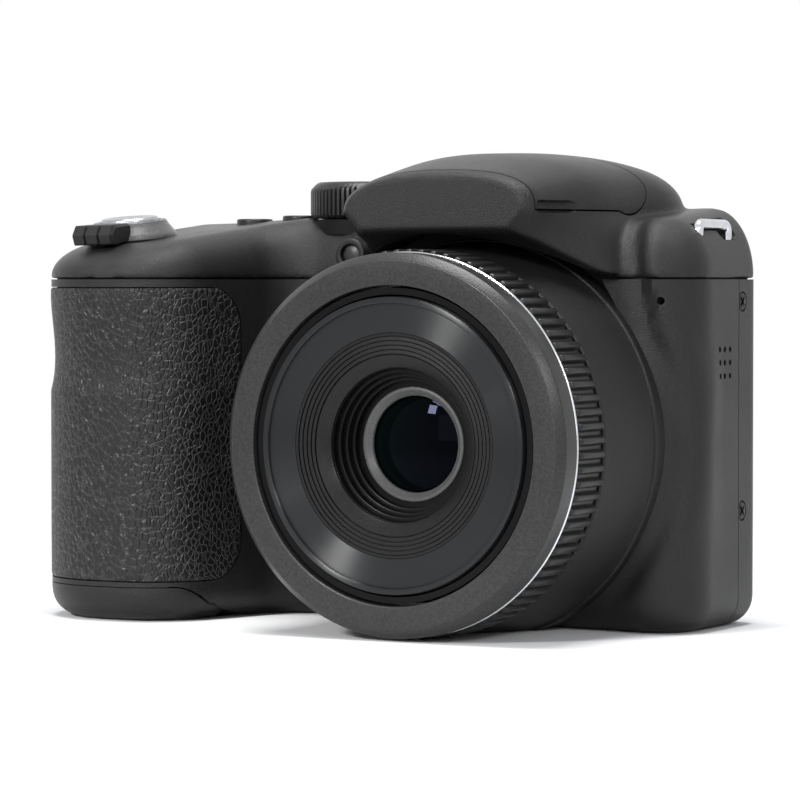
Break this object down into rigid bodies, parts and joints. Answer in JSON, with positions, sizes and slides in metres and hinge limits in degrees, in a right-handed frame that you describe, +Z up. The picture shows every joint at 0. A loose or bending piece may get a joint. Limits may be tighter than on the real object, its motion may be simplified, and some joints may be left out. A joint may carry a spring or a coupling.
{
  "type": "bridge camera",
  "caption": "Bridge camera with a telescoping zoom lens, leather-grained grip, pop-up flash, mode dial, shutter with zoom lever, rear screen and battery door.",
  "frame": {"origin": "on the base, straight below the lens axis and above the resting face", "axes": "+Z up, -Y the way the lens looks, +X across the width away from the grip"},
  "size_m": [0.118, 0.0623, 0.0794],
  "materials": {
    "body_plastic": "satin moulded plastic with a fine sparkle grain",
    "grip_skin": "leather-grained rubber",
    "ring_plastic": "satin",
    "bright_trim": "bright satin metal",
    "lever_metal": "satin, anodised grey",
    "inner_black": "matt black",
    "gloss_black": "gloss",
    "optical_glass": "coated glass",
    "gear_plastic": "natural acetal",
    "alloy": "bare",
    "steel": "plated",
    "brass": "nickel plated",
    "board": "solder mask"
  },
  "bodies": {
    "camera_body": {"front_cover": "body_plastic", "rear_cover": "body_plastic", "top_cover": "body_plastic", "grip_rubber": "grip_skin", "front_bezel": "ring_plastic", "knurled_ring": "ring_plastic", "chrome_ring": "bright_trim", "strap_lugs": "bright_trim", "lens_housing": "inner_black", "battery_box": "inner_black", "speaker": "inner_black", "af_lamp": "gloss_black", "lcd_window": "gloss_black", "rear_lens": "optical_glass", "zoom_motor": "alloy", "chassis": "alloy", "usb_socket": "alloy", "card_slot": "alloy", "microphone": "alloy", "flash_capacitor": "alloy", "door_hinge_pin": "steel", "flash_hinge_pin": "steel", "cover_screws": "steel", "battery_cells": "steel", "tripod_bush": "brass", "battery_contacts": "brass", "main_board": "board", "top_board": "board", "image_sensor": "board", "lcd_panel": "board"},
    "outer_barrel": {"outer_barrel": "lever_metal", "second_lens": "optical_glass"},
    "front_barrel": {"front_barrel": "inner_black", "front_trim_ring": "gloss_black", "lens_retainer": "inner_black", "front_lens": "optical_glass"},
    "cam_ring": {"cam_ring": "alloy"},
    "zoom_gear": {"zoom_gear": "gear_plastic"},
    "flash_lid": {"flash_lid": "body_plastic", "flash_reflector": "alloy", "flash_tube": "optical_glass", "flash_window": "optical_glass"},
    "shutter_button": {"shutter_button": "bright_trim"},
    "zoom_lever": {"zoom_lever": "lever_metal"},
    "mode_dial": {"mode_dial": "ring_plastic"},
    "power_button": {"power_button": "ring_plastic"},
    "burst_button": {"burst_button": "ring_plastic"},
    "four_way_pad": {"four_way_pad": "ring_plastic"},
    "ok_button": {"ok_button": "ring_plastic"},
    "menu_button": {"menu_button": "ring_plastic"},
    "play_button": {"play_button": "ring_plastic"},
    "delete_button": {"delete_button": "ring_plastic"},
    "video_button": {"video_button": "ring_plastic"},
    "battery_door": {"battery_door": "body_plastic"},
    "battery_latch": {"battery_latch": "ring_plastic"},
    "port_cover": {"port_cover": "body_plastic"}
  },
  "joints": [
    {"name": "zoom_slide", "type": "slide", "parent": "camera_body", "child": "outer_barrel", "axis": [0, -1, 0], "range_m": [0, 0.018]},
    {"name": "front_slide", "type": "slide", "parent": "outer_barrel", "child": "front_barrel", "axis": [0, -1, 0], "range_m": [0, 0.016]},
    {"name": "cam_turn", "type": "hinge", "parent": "camera_body", "child": "cam_ring", "pos_m": [0, 0, 0.0315], "axis": [0, -1, 0], "range_deg": [0, 80]},
    {"name": "zoom_gear_turn", "type": "hinge", "parent": "camera_body", "child": "zoom_gear", "pos_m": [-0.0342, 0, 0.0315], "axis": [0, -1, 0], "range_deg": [-300, 0]},
    {"name": "flash_lid_hinge", "type": "hinge", "parent": "camera_body", "child": "flash_lid", "pos_m": [0, -0.007, 0.0746], "axis": [-1, 0, 0], "range_deg": [0, 45]},
    {"name": "shutter_press", "type": "slide", "parent": "camera_body", "child": "shutter_button", "axis": [0.0199, 0.0995, -0.9948], "range_m": [0, 0.0007], "stiffness_N_per_m": 400},
    {"name": "zoom_lever_turn", "type": "hinge", "parent": "camera_body", "child": "zoom_lever", "pos_m": [-0.0657, -0.02, 0.06509], "axis": [-0.0199, -0.0995, 0.9948], "range_deg": [-25, 25], "stiffness_Nm_per_rad": 0.05},
    {"name": "mode_dial_turn", "type": "hinge", "parent": "camera_body", "child": "mode_dial", "pos_m": [-0.0313, 0.002, 0.06797], "axis": [0, 0, 1], "continuous": true},
    {"name": "power_press", "type": "slide", "parent": "camera_body", "child": "power_button", "axis": [0, 0, -1], "range_m": [0, 0.0006], "stiffness_N_per_m": 400},
    {"name": "burst_press", "type": "slide", "parent": "camera_body", "child": "burst_button", "axis": [0, 0, -1], "range_m": [0, 0.0006], "stiffness_N_per_m": 400},
    {"name": "pad_press", "type": "slide", "parent": "camera_body", "child": "four_way_pad", "axis": [0, -1, 0], "range_m": [0, 0.0005], "stiffness_N_per_m": 400},
    {"name": "ok_press", "type": "slide", "parent": "camera_body", "child": "ok_button", "axis": [0, -1, 0], "range_m": [0, 0.0006], "stiffness_N_per_m": 400},
    {"name": "menu_press", "type": "slide", "parent": "camera_body", "child": "menu_button", "axis": [0, -1, 0], "range_m": [0, 0.0006], "stiffness_N_per_m": 400},
    {"name": "play_press", "type": "slide", "parent": "camera_body", "child": "play_button", "axis": [0, -1, 0], "range_m": [0, 0.0006], "stiffness_N_per_m": 400},
    {"name": "delete_press", "type": "slide", "parent": "camera_body", "child": "delete_button", "axis": [0, -1, 0], "range_m": [0, 0.0006], "stiffness_N_per_m": 400},
    {"name": "video_press", "type": "slide", "parent": "camera_body", "child": "video_button", "axis": [0, -1, 0], "range_m": [0, 0.0006], "stiffness_N_per_m": 400},
    {"name": "battery_door_hinge", "type": "hinge", "parent": "camera_body", "child": "battery_door", "pos_m": [-0.0495, -0.01, 0.003], "axis": [0, -1, 0], "range_deg": [0, 95]},
    {"name": "battery_latch_slide", "type": "slide", "parent": "battery_door", "child": "battery_latch", "axis": [1, 0, 0], "range_m": [0, 0.0028]},
    {"name": "port_cover_hinge", "type": "hinge", "parent": "camera_body", "child": "port_cover", "pos_m": [-0.079, 0.01, 0.0276], "axis": [0, -1, 0], "range_deg": [0, 100]}
  ],
  "couplings": [
    {"joint": "front_slide", "follows": "zoom_slide", "ratio": 0.88889},
    {"joint": "cam_turn", "follows": "zoom_slide", "rad_per_m": 77.562},
    {"joint": "zoom_gear_turn", "follows": "zoom_slide", "rad_per_m": -290.86}
  ]
}
